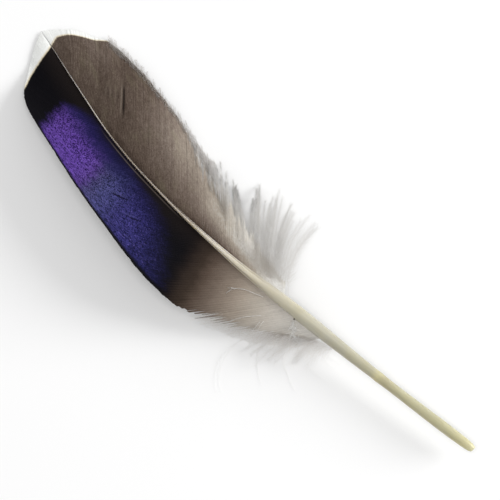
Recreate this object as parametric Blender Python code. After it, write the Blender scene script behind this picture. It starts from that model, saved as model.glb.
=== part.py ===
"""A mallard's secondary wing feather, lying top side up on a flat surface.

The feather is one closed solid: the shaft, the outer and inner vanes that grow from its sides,
and the locks of down at its base. X runs from the quill's end to the feather's tip, Y towards
the outer vane and Z up. The origin is the middle of the bounding box's base.
"""

import math
import random

import bmesh
import bpy
import numpy as np
from mathutils import Vector

# Sizes below are in millimetres, and angles in degrees.
MM = 0.001

# The shaft's line: distance from the quill's end, sideways place, height of its middle.
SHAFT_LINE = (
    (0.0, 0.2, 4.7),
    (12.0, 1.6, 5.0),
    (30.0, 3.5, 5.7),
    (48.0, 5.1, 6.6),
    (65.0, 6.5, 7.2),
    (78.0, 6.85, 7.1),
    (90.0, 6.45, 6.2),
    (100.0, 5.4, 4.9),
    (110.0, 3.3, 3.1),
    (122.3, 0.4, 0.5),
)
# The shaft's section: distance from the quill's end, width, depth.
SHAFT_SECTION = (
    (0.0, 1.35, 1.25),
    (0.7, 1.85, 1.75),
    (2.2, 2.1, 2.0),
    (8.0, 2.3, 2.2),
    (20.0, 2.1, 2.05),
    (32.0, 2.45, 2.35),
    (44.0, 2.9, 2.6),
    (50.0, 2.7, 2.5),
    (59.0, 1.85, 2.1),
    (73.0, 0.95, 1.5),
    (88.0, 0.6, 1.1),
    (104.0, 0.4, 0.8),
    (122.3, 0.2, 0.5),
)
TIP = SHAFT_LINE[-1][0]
SECTION_ARC_POINTS = 5
LEAST_CROWN = 0.02
QUILL_CAP = 0.25
ROUNDED_END = (0.0, 0.7, 2.2)

# Barbs that shape a vane: distance of the root from the quill's end, angle between the barb
# and the shaft at the root, and the place of the barb's end (x, y, z).
OUTER_BARBS = (
    (35.6, 52, 37.0, 6.9, 4.4),
    (37.0, 52, 39.8, 9.1, 2.6),
    (39.0, 52, 42.6, 11.6, 1.0),
    (41.0, 52, 46.2, 14.4, 0.2),
    (43.5, 51, 50.6, 17.2, 0.4),
    (46.0, 50, 54.8, 19.1, 2.0),
    (50.0, 49, 60.8, 21.1, 5.4),
    (54.0, 48, 66.6, 21.8, 8.2),
    (58.0, 46, 72.8, 21.8, 9.9),
    (62.0, 44, 79.4, 21.2, 10.8),
    (66.5, 43, 87.6, 19.8, 11.2),
    (73.0, 42, 97.0, 18.1, 10.8),
    (82.0, 42, 107.5, 15.6, 8.8),
    (90.0, 42, 113.8, 14.1, 6.2),
    (95.5, 41, 117.6, 12.9, 3.9),
    (99.5, 40, 119.9, 11.3, 2.3),
    (104.0, 38, 121.5, 8.8, 1.1),
    (110.0, 36, 123.4, 5.7, 0.4),
    (116.0, 34, 125.0, 2.7, 0.4),
    (122.3, 0, 126.2, -0.4, 0.4),
)
INNER_BARBS = (
    (49.6, 64, 56.0, -10.4, 0.2),
    (50.6, 60, 57.6, -11.0, 0.2),
    (52.0, 56, 60.8, -8.6, 0.2),
    (53.6, 54, 63.4, -11.4, 0.2),
    (55.4, 53, 65.8, -9.6, 0.2),
    (57.4, 53, 68.8, -9.9, 0.2),
    (59.8, 53, 71.8, -7.6, 0.2),
    (62.2, 53, 74.6, -6.3, 0.2),
    (65.0, 52, 77.2, -6.4, 0.2),
    (69.0, 52, 81.6, -5.5, 0.2),
    (76.0, 50, 89.4, -7.0, 0.9),
    (84.0, 49, 98.2, -8.3, 1.5),
    (92.0, 48, 106.2, -9.2, 1.3),
    (98.0, 48, 111.2, -9.2, 0.8),
    (103.0, 47, 114.6, -8.9, 0.5),
    (108.0, 46, 117.6, -7.4, 0.4),
    (113.0, 43, 121.0, -5.9, 0.4),
    (118.0, 38, 124.2, -3.0, 0.4),
    (122.3, 0, 126.2, -0.4, 0.4),
)
BARB_STEPS = 7
FALL_NEAR_SHAFT = 0.35
HALF_THICKNESS_AT_SHAFT = 0.2
HALF_THICKNESS_AT_EDGE = 0.14

# How far out from the shaft neighbouring barbs hold together: root's distance, share of length.
OUTER_ZIP = ((35.6, 0.4), (41.0, 0.6), (46.0, 0.75), (49.0, 0.85), (52.0, 1.0), (TIP, 1.0))
INNER_ZIP = ((49.6, 0.4), (56.0, 0.5), (63.0, 0.75), (68.0, 1.0), (TIP, 1.0))
LOCK_END_WIDTH = 0.22
LOCK_LENGTH_VARIES = 0.06
LOCK_LIFT = 2.6
LOCK_FULLNESS = 2.2

# Distances between neighbouring barb lines, in the downy base and in the vanes.
DOWN_SPACING = 0.72
VANE_SPACING = 1.6
DOWN_ENDS = 65.0
QUILL_SPACING = 2.6
DIRECTION_REACH = 0.5
SHARP_EDGE = 40

# Loose wisps of down past the ends of outer locks: root's distance, a point that the wisp
# bends towards (x, y) and its end (x, y).
WISPS = (
    (36.0, 36.2, 8.4, 32.6, 8.3),
    (37.9, 40.0, 12.0, 31.2, 11.4),
    (39.4, 43.6, 14.6, 34.2, 17.8),
    (41.5, 48.4, 17.4, 40.8, 21.6),
    (43.7, 54.0, 24.6, 46.9, 28.8),
)
WISP_STEPS = 7
WISP_WIDTH = 0.4
WISP_END_WIDTH = 0.16
WISP_FLOOR_SHARE = 0.6

# Colour zones in plan: the pale band past a curved line near the tip, the bright patch of the
# outer vane between two distances from the quill's end, and the black around it.
PALE_BAND_START = 122.6
PALE_BAND_CURVE = 0.022
BRIGHT_PATCH = (68.0, 111.0)
BRIGHT_PATCH_ASIDE = 4.6
BLACK_START = 62.0
BLACK_SLANT = 1.1
DOWN_ASIDE = 7.0

SEED = 7


def clear_scene():
    for obj in list(bpy.data.objects):
        bpy.data.objects.remove(obj, do_unlink=True)


def smooth_curve(pairs):
    """A smooth function through (place, value) pairs that never overshoots them."""
    place, value = (np.array(column, float) for column in zip(*pairs))
    step = np.diff(place)
    rise = np.diff(value) / step
    slope = np.zeros(len(place))
    slope[0] = rise[0]
    slope[-1] = rise[-1]
    for i in range(1, len(rise)):
        if rise[i - 1] * rise[i] > 0:
            slope[i] = 2 * rise[i - 1] * rise[i] / (rise[i - 1] + rise[i])

    def at(x):
        i = int(np.clip(np.searchsorted(place, x) - 1, 0, len(step) - 1))
        t = (x - place[i]) / step[i]
        ends = value[i] * (1 + 2 * t) * (1 - t) ** 2 + value[i + 1] * t * t * (3 - 2 * t)
        bends = slope[i] * t * (1 - t) ** 2 - slope[i + 1] * t * t * (1 - t)
        return float(ends + step[i] * bends)

    return at


def smooth_columns(rows):
    """One smooth function for each column after the first, which is the place."""
    return [smooth_curve([(row[0], row[i]) for row in rows]) for i in range(1, len(rows[0]))]


shaft_y, shaft_z = smooth_columns(SHAFT_LINE)
shaft_width, shaft_depth = smooth_columns(SHAFT_SECTION)


def shaft_direction(x):
    """The shaft's direction in plan, towards the tip."""
    rise = shaft_y(x + DIRECTION_REACH) - shaft_y(x - DIRECTION_REACH)
    return Vector((2 * DIRECTION_REACH, rise)).normalized()


def turned(direction, degrees):
    angle = math.radians(degrees)
    return Vector((
        direction.x * math.cos(angle) - direction.y * math.sin(angle),
        direction.x * math.sin(angle) + direction.y * math.cos(angle),
    ))


class Vane:
    """The plan and height of one vane. side is 1 for the outer vane and -1 for the inner."""

    def __init__(self, side, barbs, zip_rows):
        self.side = side
        self.start = barbs[0][0]
        self.lead, self.end_x, self.end_y, self.end_z = smooth_columns(barbs)
        self.zip_share = smooth_curve(zip_rows)

    def root(self, x):
        across = turned(shaft_direction(x), 90 * self.side)
        half = 0.5 * shaft_width(x) if x < TIP else 0.0
        return Vector((x, shaft_y(x))) + across * half

    def place(self, x, share, reach=1.0):
        """The point at this share of the length of the barb whose root is at x, in plan."""
        root = self.root(x)
        end = root + (Vector((self.end_x(x), self.end_y(x))) - root) * reach
        lead = turned(shaft_direction(x), self.lead(x) * self.side)
        bend = root + lead * (0.5 * (end - root).length)
        return root * (1 - share) ** 2 + bend * (2 * share * (1 - share)) + end * share * share

    def height(self, x, share):
        """The height of the vane's middle at the same point."""
        fall = FALL_NEAR_SHAFT * share + (1 - FALL_NEAR_SHAFT) * share * share
        return shaft_z(x) + (self.end_z(x) - shaft_z(x)) * fall


def half_thickness(share):
    return HALF_THICKNESS_AT_SHAFT + (HALF_THICKNESS_AT_EDGE - HALF_THICKNESS_AT_SHAFT) * share


def barb_line_places(start):
    """Distances from the quill's end at which barb lines leave the shaft."""
    places = [start]
    while places[-1] < TIP:
        spacing = DOWN_SPACING if places[-1] < DOWN_ENDS else VANE_SPACING
        places.append(places[-1] + spacing)
    last = len(places) - 1
    stretch = (TIP - DOWN_ENDS) / (places[last] - DOWN_ENDS)
    return [x if x < DOWN_ENDS else DOWN_ENDS + (x - DOWN_ENDS) * stretch for x in places]


def quill_places(end):
    """Ring places along the bare quill, closer together at its rounded end."""
    start = ROUNDED_END[-1]
    count = round((end - start) / QUILL_SPACING)
    return [*ROUNDED_END, *(start + (end - start) * i / count for i in range(1, count))]


class FeatherMesh:
    """Builds the feather's skin, point by point, in millimetres."""

    def __init__(self):
        self.bm = bmesh.new()
        self.random = random.Random(SEED)

    def pair(self, plan, middle, half):
        """A top and a bottom point over one place in plan, no lower than the surface."""
        low = max(0.0, middle - half)
        top = self.bm.verts.new((plan.x, plan.y, low + 2 * half))
        bottom = self.bm.verts.new((plan.x, plan.y, low))
        return top, bottom

    def face(self, *verts):
        self.bm.faces.new(verts)

    def ring(self, x):
        """The shaft's section at x: the outer side's pair, the inner side's pair and two arcs."""
        across = turned(shaft_direction(x), 90)
        middle = Vector((x, shaft_y(x)))
        half_width = 0.5 * shaft_width(x)
        side_height = HALF_THICKNESS_AT_SHAFT
        crown = max(0.5 * shaft_depth(x) - side_height, LEAST_CROWN)
        outer = self.pair(middle + across * half_width, shaft_z(x), side_height)
        inner = self.pair(middle - across * half_width, shaft_z(x), side_height)
        arcs = []
        for up in (1, -1):
            arc = []
            for i in range(1, SECTION_ARC_POINTS + 1):
                angle = math.pi * i / (SECTION_ARC_POINTS + 1)
                plan = middle + across * (half_width * math.cos(angle))
                height = shaft_z(x) + up * (side_height + crown * math.sin(angle))
                arc.append(self.bm.verts.new((plan.x, plan.y, height)))
            arcs.append(arc)
        return {
            "outer": outer,
            "inner": inner,
            "top": [outer[0], *arcs[0], inner[0]],
            "bottom": [outer[1], *arcs[1], inner[1]],
        }

    def end_ring(self):
        """The shaft's tip: the whole section drawn together to one pair."""
        pair = self.pair(Vector((TIP, shaft_y(TIP))), shaft_z(TIP), HALF_THICKNESS_AT_SHAFT)
        count = SECTION_ARC_POINTS + 2
        return {"outer": pair, "inner": pair, "top": [pair[0]] * count, "bottom": [pair[1]] * count}

    def skin_shaft(self, rings, outer_start, inner_start):
        for i in range(len(rings) - 1):
            near, far = rings[i], rings[i + 1]
            for arc in ("top", "bottom"):
                for k in range(SECTION_ARC_POINTS + 1):
                    corners = [near[arc][k], near[arc][k + 1], far[arc][k + 1], far[arc][k]]
                    self.face(*dict.fromkeys(corners))
            for side, start in (("outer", outer_start), ("inner", inner_start)):
                if i < start:
                    self.face(*near[side], *reversed(far[side]))

    def cap_quill(self, ring):
        x = -QUILL_CAP
        apex = self.bm.verts.new((x, shaft_y(0.0), shaft_z(0.0)))
        loop = ring["top"] + list(reversed(ring["bottom"]))
        for i, vert in enumerate(loop):
            self.face(vert, loop[(i + 1) % len(loop)], apex)

    def lock_border(self, vane, x, middle_x, split, reach, lift):
        """Points from where the barb line at x splits to the end of the lock at middle_x.

        reach is the lock's length as a share of the barb's, and lift is how far its end rises.
        """
        points = []
        for j in range(split + 1, BARB_STEPS + 1):
            share = j / BARB_STEPS
            drawn = ((j - split) / (BARB_STEPS - split)) ** LOCK_FULLNESS
            line = vane.place(x, share, 1 + (reach - 1) * drawn)
            middle = vane.place(middle_x, share, 1 + (reach - 1) * drawn)
            gap = line - middle
            end_half = 0.5 * LOCK_END_WIDTH / gap.length
            plan = middle + gap * (1 - drawn + end_half * drawn)
            height = vane.height(x, share) + lift * drawn
            points.append(self.pair(plan, height, half_thickness(share)))
        return points

    def skin_vane(self, vane, places, rings, last_line=None):
        """Skins a vane lock by lock and returns its last barb line, which the vanes share."""
        side = "outer" if vane.side > 0 else "inner"
        splits = [0] + [
            min(BARB_STEPS, max(1, round(BARB_STEPS * vane.zip_share(x)))) for x in places[1:]
        ]
        lines = []
        for x, ring, split in zip(places, rings, splits):
            line = [ring[side]]
            for j in range(1, split + 1):
                share = j / BARB_STEPS
                plan = vane.place(x, share)
                line.append(self.pair(plan, vane.height(x, share), half_thickness(share)))
            lines.append(line)
        if last_line is not None:
            lines[-1] = last_line
        for i in range(len(places) - 1):
            middle_x = 0.5 * (places[i] + places[i + 1])
            zipped = min(splits[i], splits[i + 1]) == BARB_STEPS
            reach = 1.0 if zipped else 1 + self.random.uniform(-1, 1) * LOCK_LENGTH_VARIES
            lift = LOCK_LIFT * self.random.random() ** 2
            borders = []
            for k in (i, i + 1):
                free = self.lock_border(vane, places[k], middle_x, splits[k], reach, lift)
                borders.append(lines[k] + free)
            self.skin_lock(vane, middle_x, borders, (splits[i], splits[i + 1]))
        return lines[-1]

    def skin_lock(self, vane, middle_x, borders, splits):
        near, far = borders
        for j in range(BARB_STEPS):
            for level in (0, 1):
                self.face(near[j][level], far[j][level], far[j + 1][level], near[j + 1][level])
        for border, split in zip(borders, splits):
            for j in range(split, BARB_STEPS):
                self.face(*border[j], *reversed(border[j + 1]))
        wisp = next((row for row in WISPS if self.holds_wisp(vane, middle_x, row[0])), None)
        ends = (near[-1], far[-1])
        if wisp is not None:
            ends = self.skin_wisp(ends, wisp)
        self.face(*ends[0], *reversed(ends[1]))

    def holds_wisp(self, vane, middle_x, wisp_x):
        return vane.side > 0 and abs(middle_x - wisp_x) <= 0.5 * DOWN_SPACING

    def skin_wisp(self, ends, wisp):
        """Runs a lock's end on as a thin wisp that comes down to the surface."""
        near, far = ends
        start = 0.5 * (near[1].co + far[1].co)
        bend, end = Vector(wisp[1:3]), Vector(wisp[3:5])
        for j in range(1, WISP_STEPS + 1):
            share = j / WISP_STEPS
            pull = 2 * share * (1 - share)
            plan = start.xy * (1 - share) ** 2 + bend * pull + end * share * share
            along = (bend - start.xy) * (1 - share) + (end - bend) * share
            across = turned(along.normalized(), -90 * vane_turn(near, far, along))
            width = WISP_WIDTH + (WISP_END_WIDTH - WISP_WIDTH) * share
            down = max(0.0, 1 - share / WISP_FLOOR_SHARE)
            height = HALF_THICKNESS_AT_EDGE + start.z * down
            step = [
                self.pair(plan + across * (0.5 * width * turn), height, HALF_THICKNESS_AT_EDGE)
                for turn in (1, -1)
            ]
            for level in (0, 1):
                self.face(near[level], far[level], step[1][level], step[0][level])
            self.face(*near, *reversed(step[0]))
            self.face(*far, *reversed(step[1]))
            near, far = step
        return near, far

    def finish(self):
        """Centres the skin over its base, turns its faces out and gives the mesh in metres."""
        corners = [[vert.co[k] for vert in self.bm.verts] for k in range(3)]
        low = Vector([min(values) for values in corners])
        high = Vector([max(values) for values in corners])
        middle = Vector((0.5 * (low.x + high.x), 0.5 * (low.y + high.y), low.z))
        mesh = bpy.data.meshes.new("feather")
        zones = [row[0] for row in MATERIALS]
        bmesh.ops.recalc_face_normals(self.bm, faces=self.bm.faces)
        for face in self.bm.faces:
            face.material_index = zones.index(zone_of(face.calc_center_median()))
        for vert in self.bm.verts:
            vert.co = (vert.co - middle) * MM
        self.bm.to_mesh(mesh)
        self.bm.free()
        return mesh


def vane_turn(near, far, along):
    """1 or -1: on which side of the direction along the near border lies."""
    gap = near[0].co.xy - far[0].co.xy
    return 1 if along.x * gap.y - along.y * gap.x < 0 else -1


def zone_of(place):
    """The name of the feather's colour at a place in its plan."""
    x, y = place.x, place.y
    nearest = min(max(x, 0.0), TIP)
    aside = y - shaft_y(nearest)
    if abs(aside) < 0.5 * shaft_width(nearest):
        return "quill_horn"
    if x > PALE_BAND_START - PALE_BAND_CURVE * y * y:
        return "pale_band"
    if aside < 0:
        return "down" if x < DOWN_ENDS and aside < -DOWN_ASIDE else "brown_vane"
    if BRIGHT_PATCH[0] < x < BRIGHT_PATCH[1] and aside > BRIGHT_PATCH_ASIDE:
        return "speculum"
    black_from = BLACK_START + BLACK_SLANT * (aside - BRIGHT_PATCH_ASIDE)
    return "black_vane" if x > black_from else "brown_vane"


# Name, colour, roughness, metallic value.
MATERIALS = (
    ("quill_horn", (0.60, 0.56, 0.40), 0.40, 0.0),
    ("pale_band", (0.78, 0.77, 0.74), 0.60, 0.0),
    ("speculum", (0.10, 0.05, 0.27), 0.35, 0.4),
    ("black_vane", (0.010, 0.009, 0.011), 0.55, 0.0),
    ("brown_vane", (0.18, 0.14, 0.12), 0.70, 0.0),
    ("down", (0.55, 0.52, 0.48), 0.85, 0.0),
)


def add_materials(mesh):
    for name, colour, roughness, metallic in MATERIALS:
        material = bpy.data.materials.new(name)
        material.use_nodes = True
        shader = material.node_tree.nodes["Principled BSDF"]
        shader.inputs["Base Color"].default_value = (*colour, 1.0)
        shader.inputs["Roughness"].default_value = roughness
        shader.inputs["Metallic"].default_value = metallic
        material.diffuse_color = (*colour, 1.0)
        mesh.materials.append(material)


def build_feather():
    outer = Vane(1, OUTER_BARBS, OUTER_ZIP)
    inner = Vane(-1, INNER_BARBS, INNER_ZIP)
    lines = barb_line_places(outer.start)
    bare = quill_places(outer.start)
    skin = FeatherMesh()
    rings = [skin.ring(x) for x in bare + lines[:-1]] + [skin.end_ring()]
    outer_first = len(bare)
    inner_first = next(i for i, x in enumerate(bare + lines) if x >= inner.start)
    skin.skin_shaft(rings, outer_first, inner_first)
    skin.cap_quill(rings[0])
    places = bare + lines
    last_line = skin.skin_vane(outer, places[outer_first:], rings[outer_first:])
    skin.skin_vane(inner, places[inner_first:], rings[inner_first:], last_line)
    mesh = skin.finish()
    add_materials(mesh)
    mesh.shade_smooth()
    mesh.set_sharp_from_angle(angle=math.radians(SHARP_EDGE))
    feather = bpy.data.objects.new("feather", mesh)
    bpy.context.scene.collection.objects.link(feather)


clear_scene()
build_feather()
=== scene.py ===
"""The looks of a mallard's secondary wing feather that lies top side up on a pale floor.

Each barb of the vanes and of the down is its own closed shape, laid out by the same named
values as the solid: x runs from the quill's end to the tip, y towards the outer vane, z up.
Lengths are in millimetres up to the point where a mesh is made.
"""

import math

import bpy
import numpy as np
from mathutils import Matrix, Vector


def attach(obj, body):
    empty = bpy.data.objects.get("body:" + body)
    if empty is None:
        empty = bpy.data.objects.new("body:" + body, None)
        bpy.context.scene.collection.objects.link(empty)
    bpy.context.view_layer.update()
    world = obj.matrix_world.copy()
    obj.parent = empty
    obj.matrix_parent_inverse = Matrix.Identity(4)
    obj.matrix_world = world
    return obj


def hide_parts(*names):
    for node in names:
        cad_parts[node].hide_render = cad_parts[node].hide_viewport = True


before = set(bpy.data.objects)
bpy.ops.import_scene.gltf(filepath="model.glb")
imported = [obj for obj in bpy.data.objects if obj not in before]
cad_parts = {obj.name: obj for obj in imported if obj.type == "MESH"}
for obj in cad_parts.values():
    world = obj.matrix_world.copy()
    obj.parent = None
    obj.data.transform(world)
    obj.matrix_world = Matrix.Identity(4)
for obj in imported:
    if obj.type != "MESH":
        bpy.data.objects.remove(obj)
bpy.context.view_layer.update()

MM = 0.001
SEED = 11

# The shaft's line: distance from the quill's end, sideways place, height of its middle.
SHAFT_LINE = (
    (0.0, 0.2, 4.7),
    (12.0, 1.6, 5.0),
    (30.0, 3.5, 5.7),
    (48.0, 5.1, 6.6),
    (65.0, 6.5, 7.2),
    (78.0, 6.85, 7.1),
    (90.0, 6.45, 6.2),
    (100.0, 5.4, 4.9),
    (110.0, 3.3, 3.1),
    (122.3, 0.4, 0.5),
)
# The shaft's section: distance from the quill's end, width, depth.
SHAFT_SECTION = (
    (0.0, 1.35, 1.25),
    (0.7, 1.85, 1.75),
    (2.2, 2.1, 2.0),
    (8.0, 2.3, 2.2),
    (20.0, 2.1, 2.05),
    (32.0, 2.45, 2.35),
    (44.0, 2.9, 2.6),
    (50.0, 2.7, 2.5),
    (59.0, 1.85, 2.1),
    (73.0, 0.95, 1.5),
    (88.0, 0.6, 1.1),
    (104.0, 0.4, 0.8),
    (122.3, 0.2, 0.5),
)
TIP = SHAFT_LINE[-1][0]
QUILL_CAP = 0.25
# How far the light ridge on the shaft's top, left between the painted shade on its flanks, leans to the
# outer vane, as a share of its half.
RIDGE_SHIFT = 0.4
SHAFT_WOBBLE = 0.012
SHAFT_AROUND = 32
DIRECTION_REACH = 0.5

# Barbs that shape a vane: distance of the root from the quill's end, angle between the barb
# and the shaft at the root, and the place of the barb's end (x, y, z).
OUTER_BARBS = (
    (35.6, 52, 37.0, 6.9, 4.4),
    (37.0, 52, 39.8, 9.1, 2.6),
    (39.0, 52, 42.6, 11.6, 1.0),
    (41.0, 52, 46.2, 14.4, 0.2),
    (43.5, 51, 50.6, 17.2, 0.4),
    (46.0, 50, 54.8, 19.1, 2.0),
    (50.0, 49, 60.8, 21.1, 5.4),
    (54.0, 48, 66.6, 21.8, 8.2),
    (58.0, 46, 72.8, 21.8, 9.9),
    (62.0, 44, 79.4, 21.2, 10.8),
    (66.5, 43, 87.6, 19.8, 11.2),
    (73.0, 42, 97.0, 18.1, 10.8),
    (82.0, 42, 107.5, 15.6, 8.8),
    (90.0, 42, 113.8, 14.1, 6.2),
    (95.5, 41, 117.6, 12.9, 3.9),
    (99.5, 40, 119.9, 11.3, 2.3),
    (104.0, 38, 121.5, 8.8, 1.1),
    (110.0, 36, 123.4, 5.7, 0.4),
    (116.0, 34, 125.0, 2.7, 0.4),
    (122.3, 0, 126.2, -0.4, 0.4),
)
INNER_BARBS = (
    (49.6, 64, 56.0, -10.4, 0.2),
    (50.6, 60, 57.6, -11.0, 0.2),
    (52.0, 56, 60.8, -8.6, 0.2),
    (53.6, 54, 63.4, -11.4, 0.2),
    (55.4, 53, 65.8, -9.6, 0.2),
    (57.4, 53, 68.8, -9.9, 0.2),
    (59.8, 53, 71.8, -7.6, 0.2),
    (62.2, 53, 74.6, -6.3, 0.2),
    (65.0, 52, 77.2, -6.4, 0.2),
    (69.0, 52, 81.6, -5.5, 0.2),
    (76.0, 50, 89.4, -7.0, 0.9),
    (84.0, 49, 98.2, -8.3, 1.5),
    (92.0, 48, 106.2, -9.2, 1.3),
    (98.0, 48, 111.2, -9.2, 0.8),
    (103.0, 47, 114.6, -8.9, 0.5),
    (108.0, 46, 117.6, -7.4, 0.4),
    (113.0, 43, 121.0, -5.9, 0.4),
    (118.0, 38, 124.2, -3.0, 0.4),
    (122.3, 0, 126.2, -0.4, 0.4),
)
FALL_NEAR_SHAFT = 0.35
FLOOR_GAP = 0.12

# How far out from the shaft neighbouring barbs hold together: root's distance, share of length.
OUTER_ZIP = (
    (35.6, 0.2), (40.0, 0.34), (43.0, 0.56), (46.0, 0.75), (50.0, 0.90), (54.0, 0.985), (56.0, 1.0),
    (TIP, 1.0),
)
INNER_ZIP = (
    (49.6, 0.15), (56.0, 0.30), (60.0, 0.48), (65.0, 0.68), (71.0, 0.86), (77.0, 0.97), (82.0, 1.0),
    (TIP, 1.0),
)

# Vane barbs, strip by strip: the first one's root and their spacing along the shaft.
OUTER_FIRST = 39.5
INNER_FIRST = 51.0
OUTER_SPACING = 0.56
INNER_SPACING = 0.5
# Points along a strip, which lie a little closer together towards its end.
STRIP_STEPS = 26
STEP_POWER = 0.92
# A web's width as a share of the gap between barbs, and half the width of the ramus in it.
WEB_OVERLAP = 1.28
RAMUS_HALF = 0.07
# The share of a loose barb whose web narrows, and how much a closed barb's end is rounded.
WEB_FREE = 0.35
ROUNDING = 0.12
# How far a strip's sides may lie apart along the barb, in gaps between barbs.
SLIDE_LIMIT = 4.0
# How much shorter or longer a loose barb's closed part is, as a share.
RAGGED_ENDS = (-0.12, 0.07)
# Lengths of the waves that barbs drift and rise in, and the height, unevenness and twist.
CLUMP_WAVES = (1.9, 3.1, 4.7)
VANE_WAVES = (7.0, 11.0, 17.0)
WAVE_HEIGHT = 0.10
HEIGHT_VARIES = 0.012
TWIST = 2.0
# A strip's section, ten points around: five on top, then five underneath.
RING = 10
RIDGE_SHARES = np.array([0, 0.1, 1, 0.1, 0, 0, 0.1, 1, 0.1, 0])
UNDERSIDE = np.array([0] * 5 + [1] * 5)
ATLAS_ROW = np.linspace(0.05, 0.95, 5)[[0, 1, 2, 3, 4, 4, 3, 2, 1, 0]]
TOP_PROFILE = (-0.024, -0.004, 0.034, 0.002, 0.014)
BOTTOM_PROFILE = (-0.055, -0.045, -0.15, -0.04, -0.015)

# Slits between two barbs, in plan: one end, the other end, how dark: the strength of the slit's painted
# shade, which also scales how far the barbs beside it move aside and up.
OUTER_SLITS = (
    ((88.9, 12.5), (91.8, 13.8), 1.0),
    ((83.3, 14.1), (87.1, 15.1), 0.9),
    ((81.0, 14.6), (82.0, 14.8), 0.5),
    ((81.2, 18.5), (83.0, 18.2), 0.4),
)
INNER_SLITS = (
    ((101.6, 0.5), (105.2, -4.4), 1.0),
    ((105.6, 0.0), (107.8, -1.7), 0.4),
    ((104.7, -0.3), (107.3, -2.4), 0.35),
    ((103.7, -0.7), (106.3, -2.8), 0.35),
    ((93.5, 1.0), (95.5, -1.5), 0.25),
)
# How far barbs move aside and up beside a slit, and how far along the shaft that reaches.
SLIT_WIDTH = 0.10
SLIT_LIFT = 0.10
SLIT_REACH = 1.5
# Half the width of a slit's painted shadow line, and how far off in such halves and how strong its painted
# highlight line is.
SLIT_DARK = 0.3
LIT_PLACE = 2.6
LIT_SHARE = 0.4

# Down: barb spacing along the shaft and the last root, points along a barb, barbule spacing
# along a barb, barbule length and width, a barb's own width, and the barbs in a usual tuft.
DOWN_SPACING = 0.42
INNER_DOWN_END = 73.0
OUTER_DOWN_END = 51.5
DOWN_STEPS = 16
BARBULE_SPACING = 0.075
BARBULE_LENGTH = 1.8
BARBULE_WIDTH = 0.024
RAMUS_WIDTH = 0.07
TUFT_SIZE = 4.2

# Loose wisps of down past the ends of outer locks: root's distance, a point that the wisp
# bends towards (x, y) and its end (x, y).
WISPS = (
    (36.0, 36.2, 8.4, 32.6, 8.3),
    (37.9, 40.0, 12.0, 31.2, 11.4),
    (39.4, 43.6, 14.6, 34.2, 17.8),
    (41.5, 48.4, 17.4, 40.8, 21.6),
    (43.7, 54.0, 24.6, 46.9, 28.8),
)
# Loose pale barbs that lie on the brown base of the outer vane, in plan.
STRAY_BARBS = (
    ((53.8, 7.6), (55.6, 8.3), (57.2, 8.9), (58.6, 9.8), (59.7, 11.0), (59.9, 12.3)),
    ((59.2, 10.5), (59.9, 10.8), (60.5, 11.3)),
    ((51.4, 10.7), (52.7, 12.1), (54.1, 13.8), (54.5, 14.5), (55.3, 16.0)),
    ((50.7, 11.8), (50.6, 13.0), (50.4, 14.5)),
    ((50.2, 11.2), (50.1, 12.2), (49.8, 13.2)),
)
STRAY_LIFT = 0.35
STRAY_WIDTH = 0.12
# A small white tuft and a dark speck beside the shaft, in plan.
TUFT_LINE = ((45.2, 7.4), (44.4, 8.2), (43.4, 9.0), (42.4, 9.5), (42.1, 8.9))
TUFT_HAIRS = 80
SPECK = (45.9, 6.45)
SPECK_RADIUS = 0.2
# The fringe on a vane's edge: barb spacing, how far barbs pass the edge, their width, and
# barbule spacing.
FRINGE_SPACING = 0.16
FRINGE_REACH = 0.07
FRINGE_WIDTH = 0.022
FRINGE_BARBULES = 0.08

# The pale band's inner border: sideways place, distance from the quill's end.
BAND_BORDER = (
    (-9.6, 112.6), (-8.6, 114.5), (-6.9, 116.6), (-5.6, 119.0), (-4.4, 120.8), (-2.9, 122.2),
    (-1.6, 122.8), (0.5, 122.4), (6.2, 121.5), (11.1, 120.1), (14.5, 118.8),
)

# Colours as they show: place on the ramp, red, green and blue.
SPECULUM_BRIGHT = (
    (0.00, 34, 34, 78),
    (0.16, 42, 42, 94),
    (0.34, 56, 52, 114),
    (0.44, 60, 56, 116),
    (0.53, 76, 76, 130),
    (0.60, 76, 72, 116),
    (0.64, 94, 68, 144),
    (0.70, 102, 71, 162),
    (0.88, 102, 71, 160),
    (1.00, 84, 60, 136),
)
SPECULUM_DARK = (
    (0.00, 10, 10, 28),
    (0.36, 14, 14, 48),
    (0.57, 24, 28, 52),
    (0.63, 32, 18, 70),
    (1.00, 26, 14, 58),
)
OUTER_BROWN = (
    (0.00, 10, 9, 11),
    (0.13, 15, 13, 13),
    (0.20, 36, 29, 26),
    (0.29, 58, 48, 41),
    (0.35, 87, 74, 65),
    (0.42, 111, 98, 88),
    (0.50, 137, 124, 112),
    (0.60, 166, 154, 141),
    (0.70, 188, 179, 167),
    (0.80, 206, 199, 189),
    (1.00, 222, 218, 211),
)
INNER_BROWN = (
    (0.15, 38, 29, 24),
    (0.275, 70, 58, 50),
    (0.365, 93, 80, 71),
    (0.47, 120, 107, 98),
    (0.57, 145, 134, 122),
    (0.65, 165, 155, 143),
    (0.73, 186, 180, 170),
    (0.785, 204, 200, 194),
    (0.86, 222, 220, 216),
    (0.95, 244, 243, 240),
)
HORN = (
    (0.00, 198, 193, 158),
    (0.06, 188, 184, 154),
    (0.16, 183, 179, 152),
    (0.185, 178, 172, 144),
    (0.20, 196, 190, 156),
    (0.215, 180, 176, 154),
    (0.30, 184, 181, 166),
    (0.36, 194, 190, 173),
    (0.46, 202, 195, 178),
    (0.53, 213, 205, 190),
    (0.57, 205, 196, 184),
    (0.61, 182, 172, 161),
    (0.66, 168, 158, 148),
    (0.71, 144, 135, 126),
    (0.79, 132, 123, 114),
    (0.84, 190, 181, 170),
    (0.90, 180, 171, 160),
    (1.00, 134, 125, 116),
)

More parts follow.
